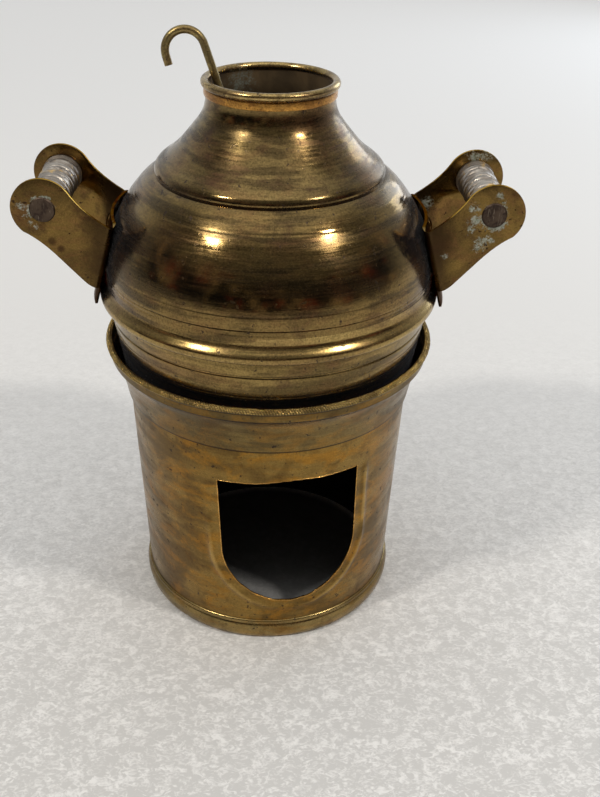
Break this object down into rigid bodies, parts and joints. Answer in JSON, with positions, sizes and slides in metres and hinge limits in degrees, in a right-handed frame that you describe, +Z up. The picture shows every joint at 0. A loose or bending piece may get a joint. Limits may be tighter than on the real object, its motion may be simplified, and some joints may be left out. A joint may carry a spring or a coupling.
{
  "type": "candle lantern",
  "caption": "Brass candle lantern: an open stand with an arched door, and a domed, necked body with ribbed side handles that lifts off it, with a loose hook wire in the neck.",
  "frame": {"origin": "centre of the stand's foot, at the table", "axes": "+Z up along the lantern's axis, -Y the front, where the door is, and the handles along X"},
  "size_m": [0.1436, 0.1026, 0.1828],
  "materials": {
    "aged_brass": "aged, with turned lines",
    "warm_brass": "aged, warmer brown",
    "copper_band": "reddish, half bright",
    "dark_iron": "dark, scratched ends",
    "grip_metal": "grey tarnish, worn ridges",
    "wire_brass": "dull"
  },
  "bodies": {
    "stand": {"stand_tube": "warm_brass", "foot_ring": "warm_brass", "stand_collar": "aged_brass", "collar_rim": "aged_brass"},
    "body": {"body_skirt": "aged_brass", "floor_plate": "aged_brass", "body_bead": "aged_brass", "body_dome": "aged_brass", "neck_cone": "aged_brass", "neck_band": "copper_band", "neck_lip": "aged_brass", "left_bracket": "aged_brass", "right_bracket": "aged_brass", "left_bracket_rivets": "aged_brass", "right_bracket_rivets": "aged_brass", "left_grip_rod": "dark_iron", "right_grip_rod": "dark_iron"},
    "left_grip": {"left_grip": "grip_metal"},
    "right_grip": {"right_grip": "grip_metal"},
    "hook": {"hook_wire": "wire_brass"}
  },
  "joints": [
    {"name": "body_lift", "type": "slide", "parent": "stand", "child": "body", "axis": [0, 0, 1], "range_m": [0, 0.06]},
    {"name": "left_grip_turn", "type": "hinge", "parent": "body", "child": "left_grip", "pos_m": [-0.063, 0, 0.137], "axis": [0, 1, 0], "continuous": true},
    {"name": "right_grip_turn", "type": "hinge", "parent": "body", "child": "right_grip", "pos_m": [0.063, 0, 0.137], "axis": [0, 1, 0], "continuous": true},
    {"name": "hook_pull", "type": "slide", "parent": "body", "child": "hook", "axis": [-0.3267, 0.0847, 0.9413], "range_m": [0, 0.11]}
  ]
}
